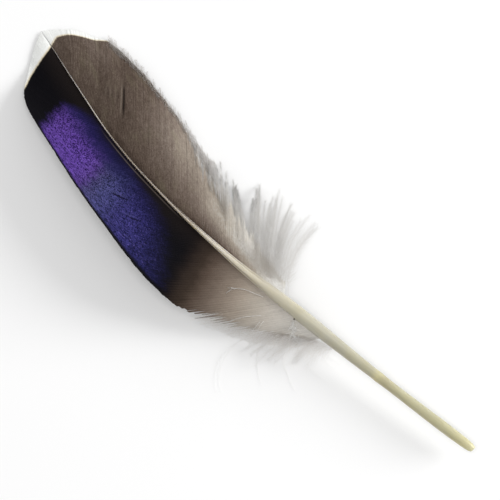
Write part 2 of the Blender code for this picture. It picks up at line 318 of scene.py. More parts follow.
# Colours of the down, at its root, middle and tip, and where a tip is dark.
DOWN_COLOURS = {
    "inner_down": ((192, 183, 171), (217, 214, 209), (222, 220, 217), (92, 84, 76)),
    "pale_down": ((186, 177, 166), (240, 239, 236), (248, 248, 246), (176, 168, 158)),
    "outer_down": ((172, 161, 151), (232, 228, 223), (250, 250, 249), (176, 168, 158)),
    "edge_down": ((132, 120, 110), (150, 139, 129), (190, 182, 174), (150, 140, 130)),
    "base_down": ((164, 153, 142), (212, 204, 195), (244, 240, 235), (150, 140, 130)),
}

# The direction in plan in which the patch's base is measured, and the brown part's slant.
LEVEL_SLANT = (0.7218, 0.6921)
BROWN_SLANT = 0.25
# Where the colours of the patch, the brown part and the shaft begin and how far they run.
HUE_START = 66.0
HUE_LENGTH = 50.0
BROWN_START = 78.0
BROWN_LENGTH = -36.0
HORN_LENGTH = 125.0
# Where they fade in, from one place to the other: along the shaft, across the patch's slant,
# in from the barbs' ends, or aside from the shaft.
BROWN_FADE = (74.0, 69.0)
PATCH_TIP = (113.4, 110.0)
PATCH_BASE = (62.5, 73.0)
PATCH_EDGE = (0.5, 2.0)
PATCH_ASIDE = (0.8, 7.0)
CORNER_ASIDE = (5.0, 0.5)
CORNER_ROUNDING = 5.0
DEEP_ASIDE = (1.0, 4.6)
DEEP_ALONG = (76.0, 96.0)
DEEP_WIDENING = 1.6
BLUE_ASIDE = (6.5, 2.5)
BLUE_ALONG = (90.0, 97.0)
BLACK_ASIDE = (0.0, 6.0)
LINE_INNER = (0.62, 0.76)
LINE_OUTER = (1.02, 0.86)
LINE_START = (76.0, 84.0)
LINE_END = (104.0, 96.0)

# The camera looks straight down on this place, and this width of the surface fills its frame.
VIEW_CENTRE = (62.58, 2.40)
VIEW_WIDTH = 105.0
VIEW_HEIGHT = 3.0
VIEW_TURN = -136.2
LENS = 400.0
SENSOR = 36.0

# Light: the key light's direction in plan (towards it), its elevation, distance and size.
KEY_TOWARDS = (-0.527, -0.850)
KEY_ELEVATION = 22.5
LAMP_DISTANCE = 1.2
KEY_SIZE = 0.62
KEY_POWER = 12.6
FILL_TOWARDS = (0.7218, 0.6921)
FILL_ELEVATION = 88.0
FILL_SIZE = 0.6
FILL_POWER = 5.0
SKY_STRENGTH = 0.48
FLOOR_ALBEDO = 0.9
FLOOR_SIZE = 6.0
LIGHT_GAIN = 1.17


def smooth_curve(pairs):
    """A smooth function through (place, value) pairs that never overshoots them."""
    place, value = (np.array(column, float) for column in zip(*pairs))
    step = np.diff(place)
    rise = np.diff(value) / step
    slope = np.zeros(len(place))
    slope[0] = rise[0]
    slope[-1] = rise[-1]
    for i in range(1, len(rise)):
        if rise[i - 1] * rise[i] > 0:
            slope[i] = 2 * rise[i - 1] * rise[i] / (rise[i - 1] + rise[i])

    def at(x):
        i = np.clip(np.searchsorted(place, x) - 1, 0, len(step) - 1)
        t = (x - place[i]) / step[i]
        ends = value[i] * (1 + 2 * t) * (1 - t) ** 2 + value[i + 1] * t * t * (3 - 2 * t)
        bends = slope[i] * t * (1 - t) ** 2 - slope[i + 1] * t * t * (1 - t)
        return ends + step[i] * bends

    return at


def smooth_columns(rows):
    """One smooth function for each column after the first, which is the place."""
    return [smooth_curve([(row[0], row[i]) for row in rows]) for i in range(1, len(rows[0]))]


shaft_y, shaft_z = smooth_columns(SHAFT_LINE)
shaft_width, shaft_depth = smooth_columns(SHAFT_SECTION)
band_border = smooth_curve(BAND_BORDER)


def unit(vectors):
    return vectors / np.maximum(np.linalg.norm(vectors, axis=-1, keepdims=True), 1e-9)


def smoothstep(value, low, high):
    t = np.clip((value - low) / (high - low), 0, 1)
    return t * t * (3 - 2 * t)


def ripple(x, waves, seed):
    """A smooth wavering of x, about -1 to 1, made of sine waves of these lengths."""
    rng = np.random.default_rng(seed)
    phases = rng.uniform(0, 2 * math.pi, len(waves))
    return sum(np.sin(2 * math.pi * x / wave + phase) for wave, phase in zip(waves, phases)) / len(waves)


def shaft_direction(x):
    """The shaft's direction in plan, towards the tip."""
    rise = shaft_y(x + DIRECTION_REACH) - shaft_y(x - DIRECTION_REACH)
    return unit(np.stack([np.full_like(rise, 2 * DIRECTION_REACH), rise], axis=-1))


def turned(direction, degrees):
    angle = np.radians(degrees)
    cosine, sine = np.cos(angle), np.sin(angle)
    x, y = direction[..., 0], direction[..., 1]
    return np.stack([x * cosine - y * sine, x * sine + y * cosine], axis=-1)


class Vane:
    """The plan and height of one vane. side is 1 for the outer vane and -1 for the inner."""

    def __init__(self, side, barbs, zip_rows):
        self.side = side
        self.start = barbs[0][0]
        self.lead, self.end_x, self.end_y, self.end_z = smooth_columns(barbs)
        self.zip_share = smooth_curve(zip_rows)

    def root(self, x):
        across = turned(shaft_direction(x), 90 * self.side)
        half = 0.5 * np.where(x < TIP, shaft_width(x), 0.0)
        return np.stack([x, shaft_y(x)], axis=-1) + across * half[..., None]

    def place(self, x, share, reach=1.0):
        """Points in plan at these shares of the length of the barbs whose roots are at x."""
        x, share, reach = np.broadcast_arrays(*(np.asarray(v, float) for v in (x, share, reach)))
        root = self.root(x)
        end = root + (np.stack([self.end_x(x), self.end_y(x)], axis=-1) - root) * reach[..., None]
        lead = turned(shaft_direction(x), self.lead(x) * self.side)
        bend = root + lead * (0.5 * np.linalg.norm(end - root, axis=-1, keepdims=True))
        t = share[..., None]
        return root * (1 - t) ** 2 + bend * (2 * t * (1 - t)) + end * t * t

    def height(self, x, share):
        fall = FALL_NEAR_SHAFT * share + (1 - FALL_NEAR_SHAFT) * share * share
        return shaft_z(x) + (self.end_z(x) - shaft_z(x)) * fall

    def point(self, x, share, reach=1.0):
        plan = self.place(x, share, reach)
        height = np.broadcast_to(self.height(x, share), plan.shape[:-1])
        return np.concatenate([plan, height[..., None]], axis=-1)


outer_vane = Vane(1, OUTER_BARBS, OUTER_ZIP)
inner_vane = Vane(-1, INNER_BARBS, INNER_ZIP)


def design_shift():
    """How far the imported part's frame lies from the design's, in millimetres."""
    apex = min((vert.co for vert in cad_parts["feather"].data.vertices), key=lambda co: co.x)
    design = (-QUILL_CAP, float(shaft_y(0.0)), float(shaft_z(0.0)))
    return np.array(apex) / MM - np.array(design)


SHIFT = design_shift()


def to_frame(points):
    return (points + SHIFT) * MM


# Values that hold several numbers for each point: places on the baked image and in the grain.
VECTOR_SIZE = {"atlas": 2, "grain": 3}


class Skin:
    """Collects points, faces and per-point values, and makes one mesh object of them."""

    def __init__(self):
        self.points, self.faces, self.values = [], [], {}
        self.count = 0

    def add(self, points, faces, **values):
        """points is (..., 3), faces a list of (m, 3) or (m, 4) index arrays, and each value a number
        or, for the names in VECTOR_SIZE, a vector, for every point or for whole rows of points."""
        shape = points.shape[:-1]
        self.points.append(points.reshape(-1, 3))
        self.faces += [face + self.count for face in faces]
        for name, value in values.items():
            size = VECTOR_SIZE.get(name)
            full, flat = (shape, (-1,)) if size is None else ((*shape, size), (-1, size))
            self.values.setdefault(name, []).append(np.broadcast_to(value, full).reshape(flat))
        self.count += len(self.points[-1])

    def make(self, name, material, sharp_angle=50):
        points = to_frame(np.concatenate(self.points))
        points[:, 2] = np.maximum(points[:, 2], 0.0)
        sizes = np.concatenate([np.full(len(face), face.shape[1]) for face in self.faces])
        corners = np.concatenate([face.ravel() for face in self.faces])
        mesh = bpy.data.meshes.new(name)
        mesh.vertices.add(len(points))
        mesh.vertices.foreach_set("co", points.ravel())
        mesh.loops.add(len(corners))
        mesh.loops.foreach_set("vertex_index", corners.astype(np.int32))
        mesh.polygons.add(len(sizes))
        starts = np.concatenate([[0], np.cumsum(sizes)[:-1]])
        mesh.polygons.foreach_set("loop_start", starts.astype(np.int32))
        mesh.polygons.foreach_set("loop_total", sizes.astype(np.int32))
        mesh.update(calc_edges=True)
        mesh.validate()
        atlas = np.concatenate(self.values.pop("atlas"))
        layer = mesh.uv_layers.new(name="OFBake")
        layer.data.foreach_set("uv", atlas[corners].ravel())
        for key, parts in self.values.items():
            values = np.concatenate(parts)
            kind = "FLOAT" if values.ndim == 1 else "FLOAT_VECTOR"
            attribute = mesh.attributes.new(key, kind, "POINT")
            attribute.data.foreach_set("value" if values.ndim == 1 else "vector", values.ravel())
        mesh.materials.append(material)
        mesh.shade_smooth()
        mesh.set_sharp_from_angle(angle=math.radians(sharp_angle))
        piece = bpy.data.objects.new(name, mesh)
        bpy.context.scene.collection.objects.link(piece)
        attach(piece, "root")
        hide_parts("feather")
        return piece


def tube_faces(barbs, steps, ring):
    """Side faces of tubes laid out as (barb, step, ring point)."""
    index = np.arange(barbs * steps * ring).reshape(barbs, steps, ring)
    near, far = index[:, :-1], index[:, 1:]
    quads = [near, np.roll(near, -1, axis=2), np.roll(far, -1, axis=2), far]
    return np.stack(quads, axis=-1).reshape(-1, 4)


def frames_along(points):
    """Unit tangents, level sideways directions and normals along curves (..., step, 3)."""
    tangent = unit(np.gradient(points, axis=-2))
    up = np.array([0.0, 0.0, 1.0])
    aside = unit(np.cross(up, tangent))
    return tangent, aside, np.cross(tangent, aside)


# Materials

def rgb(red, green, blue):
    """A surface colour that shows as this screen colour in the scene's light."""
    screen = np.array([red, green, blue]) / 255
    linear = np.where(screen <= 0.04045, screen / 12.92, ((screen + 0.055) / 1.055) ** 2.4)
    return (*(linear / LIGHT_GAIN), 1.0)


def paint(red, green, blue):
    """The surface colour itself, given as a screen colour."""
    return (*(LIGHT_GAIN * np.array(rgb(red, green, blue)[:3])), 1.0)


class Finish:
    """A material, with short calls that add nodes and link them."""

    def __init__(self, name):
        self.material = bpy.data.materials.new(name)
        self.material.use_nodes = True
        self.tree = self.material.node_tree
        self.shader = self.tree.nodes["Principled BSDF"]

    def put(self, socket, value):
        if isinstance(value, bpy.types.NodeSocket):
            self.tree.links.new(value, socket)
        elif value is not None:
            socket.default_value = value

    def node(self, kind, inputs=(), **settings):
        made = self.tree.nodes.new(kind)
        for key, value in settings.items():
            setattr(made, key, value)
        for key, value in dict(inputs).items():
            self.put(made.inputs[key], value)
        return made

    def value(self, name):
        return self.node("ShaderNodeAttribute", attribute_name=name).outputs["Fac"]

    def vector(self, name):
        return self.node("ShaderNodeAttribute", attribute_name=name).outputs["Vector"]

    def place(self):
        return self.node("ShaderNodeTexCoord").outputs["Object"]

    def math(self, operation, first, second=0.0, clamp=False):
        made = self.node("ShaderNodeMath", operation=operation, use_clamp=clamp)
        self.put(made.inputs[0], first)
        self.put(made.inputs[1], second)
        return made.outputs[0]

    def times(self, first, second):
        return self.math("MULTIPLY", first, second)

    def plus(self, first, second, weight=1.0):
        """first plus second times weight."""
        return self.math("ADD", first, second if weight == 1.0 else self.times(second, weight))

    def centred(self, value, weight):
        """value less a half, times weight."""
        return self.times(self.math("SUBTRACT", value, 0.5), weight)

    def span(self, value, start, length):
        """How far value has come along length from start, kept within 0 and 1."""
        return self.math("DIVIDE", self.math("SUBTRACT", value, start), length, clamp=True)

    def step(self, value, low, high, to_low=0.0, to_high=1.0):
        made = self.node("ShaderNodeMapRange", interpolation_type="SMOOTHSTEP")
        for socket, number in zip(made.inputs, (value, low, high, to_low, to_high)):
            self.put(socket, number)
        return made.outputs["Result"]

    def scaled(self, vector, scale):
        made = self.node("ShaderNodeVectorMath", operation="MULTIPLY")
        self.put(made.inputs[0], vector)
        made.inputs[1].default_value = scale
        return made.outputs[0]

    def noise(self, vector, scale, detail=2.0, roughness=0.5):
        inputs = {"Vector": vector, "Scale": scale, "Detail": detail, "Roughness": roughness}
        return self.node("ShaderNodeTexNoise", inputs).outputs["Fac"]

    def grains(self, vector, scale):
        """A random grey for each small cell."""
        cells = self.node("ShaderNodeTexVoronoi", {"Vector": vector, "Scale": scale})
        return self.node("ShaderNodeSeparateColor", {"Color": cells.outputs["Color"]}).outputs[0]

    def mix(self, factor, first, second, blend_type="MIX"):
        made = self.node("ShaderNodeMix", data_type="RGBA", blend_type=blend_type)
        self.put(made.inputs["Factor"], factor)
        self.put(made.inputs[6], first)
        self.put(made.inputs[7], second)
        return made.outputs[2]

    def ramp(self, factor, stops):
        """stops hold a position and a colour: three numbers as it shows, or four as it is."""
        made = self.node("ShaderNodeValToRGB", {"Fac": factor})
        elements = made.color_ramp.elements
        while len(elements) < len(stops):
            elements.new(0.5)
        for element, (position, *colour) in zip(elements, stops):
            element.position = position
            element.color = rgb(*colour) if len(colour) == 3 else colour
        return made.outputs["Color"]

    def brighten(self, colour, factor):
        """colour times factor, where factor is a socket or a number."""
        made = self.node("ShaderNodeVectorMath", operation="SCALE")
        self.put(made.inputs[0], colour)
        self.put(made.inputs["Scale"], factor)
        return made.outputs[0]

    def bump(self, height, distance, strength=1.0):
        inputs = {"Height": height, "Distance": distance, "Strength": strength}
        return self.node("ShaderNodeBump", inputs).outputs["Normal"]

    def finish(self, **inputs):
        for key, value in inputs.items():
            self.put(self.shader.inputs[key.replace("_", " ")], value)
        return self.material


def add_band(finish, colour, soft):
    """The pale band at the tip, with a thin cream line along its inner border."""
    band = finish.plus(finish.value("band"), soft, 0.06)
    cloud = finish.noise(finish.vector("grain"), 0.8, 3.0)
    pale = finish.mix(cloud, paint(228, 229, 226), paint(238, 239, 237))
    cream = finish.mix(finish.step(band, 0.0, 0.55), paint(212, 200, 174), pale)
    return finish.mix(finish.step(band, -0.16, 0.12), colour, cream)


def speculum(finish, x_soft, aside_soft, grain, fine):
    """Violet and blue barbs, speckled with black and with small painted highlights as glints."""
    hue = finish.span(x_soft, HUE_START, HUE_LENGTH)
    cloud = finish.noise(finish.vector("grain"), 0.55, 4.0, 0.65)
    sparkle = finish.times(finish.plus(grain, fine, 0.6), 0.625)
    sparkle = finish.step(finish.plus(sparkle, finish.centred(cloud, 0.85)), 0.18, 0.72)
    patch = finish.mix(sparkle, finish.ramp(hue, SPECULUM_DARK), finish.ramp(hue, SPECULUM_BRIGHT))
    # Painted highlights: small bright glints on the brightest grains.
    glint_highlight = finish.step(finish.plus(grain, fine, 0.5), 1.25, 1.45)
    patch = finish.mix(finish.times(glint_highlight, 0.45), patch, rgb(134, 116, 196))
    along = finish.step(finish.value("x"), *BLUE_ALONG, 0.0, 0.65)
    bluer = finish.times(finish.step(aside_soft, *BLUE_ASIDE), along)
    return finish.mix(bluer, patch, rgb(50, 45, 104))


def black_with_patch(finish, soft, grain, fine):
    """Black around the speculum, deep blue between it and the shaft, with a thin pale line there."""
    x = finish.value("x")
    aside = finish.value("aside")
    x_soft = finish.plus(x, soft, 0.8)
    aside_soft = finish.plus(aside, soft, 0.5)
    level_soft = finish.plus(finish.value("level"), soft, 0.6)
    rounded = finish.plus(x_soft, finish.step(aside, *CORNER_ASIDE, 0.0, CORNER_ROUNDING))
    inside = finish.times(finish.step(rounded, *PATCH_TIP), finish.step(level_soft, *PATCH_BASE))
    inside = finish.times(inside, finish.step(finish.value("edge"), *PATCH_EDGE))
    nearer = finish.plus(aside_soft, finish.step(x, *DEEP_ALONG, 0.0, DEEP_WIDENING))
    black = finish.mix(finish.step(aside, *BLACK_ASIDE), rgb(29, 24, 23), rgb(14, 13, 17))
    deep_share = finish.times(inside, finish.step(nearer, *DEEP_ASIDE))
    deep = finish.mix(deep_share, black, rgb(25, 24, 62))
    share = finish.times(inside, finish.step(aside_soft, *PATCH_ASIDE))
    colour = finish.mix(share, deep, speculum(finish, x_soft, aside_soft, grain, fine))
    line = finish.times(finish.step(aside, *LINE_INNER), finish.step(aside, *LINE_OUTER))
    stretch = finish.times(finish.step(x, *LINE_START), finish.step(x, *LINE_END))
    return finish.mix(finish.times(finish.times(line, stretch), 0.42), colour, rgb(128, 116, 108))


def outer_vane_finish():
    """Black with a violet and blue patch, brown towards the base, a pale band at the tip."""
    finish = Finish("outer_vane")
    grain_place = finish.vector("grain")
    soft = finish.centred(finish.noise(grain_place, 0.35, 3.0), 5.0)
    grain = finish.grains(finish.scaled(grain_place, (1.0, 1.3, 1.0)), 4.0)
    fine = finish.grains(grain_place, 6.5)
    colour = black_with_patch(finish, soft, grain, fine)
    brown_place = finish.plus(finish.value("slant"), soft, 0.4)
    brown = finish.ramp(finish.span(brown_place, BROWN_START, BROWN_LENGTH), OUTER_BROWN)
    colour = finish.mix(finish.step(brown_place, *BROWN_FADE), colour, brown)

    along = finish.noise(finish.scaled(grain_place, (3.0, 0.6, 1.0)), 1.0, 3.0, 0.6)
    streak = finish.plus(finish.times(along, 0.22), finish.value("barb"), 0.10)
    streak = finish.plus(streak, grain, 0.10)
    colour = finish.brighten(colour, finish.plus(streak, 0.80))
    # Painted shadow along the slits between barbs, and a painted highlight beside each.
    colour = finish.mix(finish.times(finish.value("slit"), 0.9), colour, rgb(8, 8, 20))
    colour = finish.mix(finish.times(finish.value("lit"), 0.5), colour, rgb(104, 104, 150))
    colour = finish.mix(finish.times(finish.value("under"), 0.85), colour, rgb(104, 97, 92))
    colour = finish.mix(finish.value("pale"), colour, paint(206, 200, 191))
    colour = add_band(finish, colour, soft)
    bumps = finish.bump(finish.plus(grain, fine), 0.00003, 0.5)
    return finish.finish(Base_Color=colour, Roughness=0.55, Normal=bumps, Specular_IOR_Level=0.05)


def inner_vane_finish():
    """Brown-grey, darker beside the shaft with a painted shadow line right along it, and paler outward and
    towards the down.
    """
    finish = Finish("inner_vane")
    grain_place = finish.vector("grain")
    wander = finish.noise(grain_place, 0.28, 3.0)
    parts = (
        (wander, 0.10),
        (finish.noise(grain_place, 1.1, 4.0, 0.65), 0.12),
        (finish.noise(finish.scaled(grain_place, (3.2, 0.8, 1.0)), 1.0, 3.0, 0.6), 0.14),
        (finish.grains(finish.scaled(grain_place, (1.0, 1.2, 1.0)), 3.6), 0.055),
        (finish.grains(grain_place, 7.0), 0.05),
        (finish.value("barb"), 0.02),
        (finish.value("ridge"), 0.03),
    )
    tone = finish.value("tone")
    for part, weight in parts:
        tone = finish.plus(tone, finish.centred(part, weight))
    colour = finish.ramp(tone, INNER_BROWN)
    green = finish.step(finish.noise(grain_place, 0.22, 2.0), 0.5, 0.75)
    olive = finish.mix(0.5, colour, rgb(146, 142, 112))
    colour = finish.mix(finish.times(green, 0.25), colour, olive)
    # Painted shadow along the slits between barbs, and a painted highlight beside each.
    colour = finish.mix(finish.value("slit"), colour, rgb(20, 15, 12))
    colour = finish.mix(finish.times(finish.value("lit"), 0.8), colour, rgb(166, 154, 140))
    colour = finish.mix(finish.times(finish.value("under"), 0.6), colour, rgb(140, 132, 125))
    colour = finish.mix(finish.value("pale"), colour, paint(210, 205, 196))
    colour = add_band(finish, colour, finish.centred(wander, 5.0))
    bumps = finish.bump(finish.grains(grain_place, 5.0), 0.00002, 0.5)
    return finish.finish(Base_Color=colour, Roughness=0.8, Normal=bumps, Specular_IOR_Level=0.1)


def down_finish(name, root_colour, middle_colour, tip_colour, dusk_colour):
    """Soft down that goes from the vane's colour to pale, with tips that some barbs darken."""
    finish = Finish(name)
    root, middle, tip = (paint(*colour) for colour in (root_colour, middle_colour, tip_colour))
    mottle = finish.noise(finish.place(), 900.0, 2.0)
    tone = finish.plus(finish.value("share"), finish.centred(mottle, 0.15))
    tone = finish.plus(tone, finish.centred(finish.value("barb"), 0.12))
    colour = finish.ramp(tone, ((0.0, *root), (0.3, *middle), (0.8, *middle), (1.0, *tip)))
    dusk = finish.times(finish.value("dusk"), finish.step(tone, 0.72, 0.97))
    colour = finish.mix(dusk, colour, paint(*dusk_colour))
    return finish.finish(
        Base_Color=colour, Roughness=0.9, Specular_IOR_Level=0.1,
        Subsurface_Weight=1.0, Subsurface_Scale=0.0002, Subsurface_Radius=(1.0, 1.0, 1.0),
    )


def shaft_finish():
    """Cream horn: olive-yellow at the quill's end, paler and opaque between the vanes, with painted shade
    in the grooves along its top and on its sides and underside towards the tip.
    """
    finish = Finish("shaft_horn")
    place = finish.scaled(finish.vector("grain"), (0.35, 1.0, 1.0))
    cloud = finish.noise(place, 0.9, 4.0, 0.6)
    streaks = finish.noise(finish.scaled(finish.vector("grain"), (0.12, 3.2, 1.0)), 1.0, 4.0, 0.65)
    along = finish.math("DIVIDE", finish.value("x"), HORN_LENGTH, clamp=True)
    horn = finish.ramp(finish.plus(along, finish.centred(cloud, 0.03)), HORN)
    horn = finish.brighten(horn, finish.step(streaks, 0.2, 0.8, 0.92, 1.06))
    blotch = finish.step(finish.noise(place, 0.32, 2.0), 0.52, 0.72)
    horn = finish.mix(finish.times(blotch, 0.3), horn, rgb(178, 172, 142))
    # Painted shade in the grooves beside the shaft's top, and dark brown painted shade on its flanks and
    # underside towards the tip.
    horn = finish.mix(finish.times(finish.value("groove"), 0.7), horn, rgb(112, 98, 84))
    horn = finish.mix(finish.times(finish.value("flank"), 0.95), horn, rgb(58, 48, 42))
    bumps = finish.bump(streaks, 0.00004, 0.5)
    rough = finish.step(cloud, 0.3, 0.7, 0.30, 0.44)
    return finish.finish(
        Base_Color=horn, Roughness=rough, Normal=bumps, Specular_IOR_Level=0.45,
        Subsurface_Weight=0.95, Subsurface_Scale=0.003, Subsurface_Radius=(1.0, 0.95, 0.75),
        Coat_Weight=0.12, Coat_Roughness=0.25,
    )


# Shapes

def find_place(vane, plan):
    """The root and the share of the barb that passes over this place in plan."""
    roots = np.linspace(vane.start, TIP - 0.1, 900)
    shares = np.linspace(0, 1, 200)
    grid = vane.place(roots[:, None], shares[None, :])
    gaps = np.linalg.norm(grid - np.array(plan), axis=-1)
    row, column = np.unravel_index(np.argmin(gaps), gaps.shape)
    return roots[row], shares[column]


def slit_spans(vane, slits):
    """Each slit's root place, the middle and the half of its share of the barb, and its darkness."""
    for inner_end, outer_end, darkness in slits:
        near, far = find_place(vane, inner_end), find_place(vane, outer_end)
        half = 0.5 * abs(far[1] - near[1]) + 0.01
        yield 0.5 * (near[0] + far[0]), 0.5 * (near[1] + far[1]), half, darkness


def open_slits(vane, x, share, slits):
    """How far barbs move aside and up beside the slits."""
    moved = np.zeros(share.shape)
    raised = np.zeros(share.shape)
    for root, middle, half, darkness in slit_spans(vane, slits):
        gap = x[:, None] - root
        along = np.clip(1 - ((share - middle) / half) ** 2, 0, 1)
        moved += SLIT_WIDTH * darkness * np.sign(gap) * np.exp(-np.abs(gap) / SLIT_REACH) * along
        raised += SLIT_LIFT * darkness * (gap > 0) * np.exp(-np.abs(gap) / SLIT_REACH) * along
    return moved, raised


def slit_lines(vane, roots, x, share, slits):
    """How much painted shade, up to 1, or painted highlight, down to -1, each slit puts on places around
    it: a dark line that stands in for the shadow between the barbs, and a light line beside it.
    """
    shade = np.zeros(np.broadcast_shapes(x.shape, share.shape))
    borders = 0.5 * (roots[1:] + roots[:-1])
    for root, middle, half, darkness in slit_spans(vane, slits):
        along = np.clip(1.3 - ((share - middle) / half) ** 2, 0, 1)
        gap = x - borders[np.argmin(np.abs(borders - root))]
        dark = np.exp(-(gap / SLIT_DARK) ** 2)
        light = np.exp(-((gap - LIT_PLACE * SLIT_DARK) / SLIT_DARK) ** 2)
        shade += darkness * along * (dark - LIT_SHARE * light)
    return shade


def barb_roots(start, end, spacing, rng, jitter=0.08):
    count = int(round((end - start) / spacing))
    roots = start + (end - start) * (np.arange(count) + 0.5) / count
    return roots + rng.uniform(-jitter, jitter, count) * spacing


# The inner vane's brightness beside the shaft and away from it, and where it gets there.
NEAR_TONE = smooth_curve((
    (50.0, 0.93), (55.0, 0.81), (60.0, 0.64), (66.0, 0.47), (73.0, 0.385), (80.0, 0.385),
    (88.0, 0.36), (98.0, 0.34), (108.0, 0.35), (118.0, 0.37), (126.0, 0.38),
))
FAR_TONE = smooth_curve((
    (50.0, 0.95), (55.0, 0.89), (62.0, 0.83), (68.0, 0.73), (74.0, 0.66), (81.0, 0.59),
    (87.0, 0.605), (92.0, 0.52), (97.0, 0.445), (101.0, 0.375),
    (108.0, 0.355), (114.0, 0.44), (119.0, 0.43), (126.0, 0.40),
))
TONE_REACH = smooth_curve((
    (50.0, 4.0), (62.0, 3.8), (68.0, 4.4), (74.0, 6.2), (78.0, 8.5), (83.0, 11.5),
    (88.0, 13.2), (95.0, 13.2), (105.0, 13.0), (126.0, 10.0),
))


def inner_tone(px, aside):
    """How bright the inner vane is, 0 to 1, at a distance along and aside from the shaft, less a painted
    shadow line close beside the shaft.
    """
    blend = smoothstep((aside - 0.8) / (TONE_REACH(px) - 0.8), 0.0, 1.0)
    near, far = NEAR_TONE(px), FAR_TONE(px)
    # Painted shade: a dark line along the vane close beside the shaft.
    groove = 0.14 * np.exp(-((aside - 0.6) / 0.4) ** 2) * smoothstep(px, 56.0, 66.0)
    return near + (far - near) * blend - groove * (1 - smoothstep(px, 96.0, 110.0))


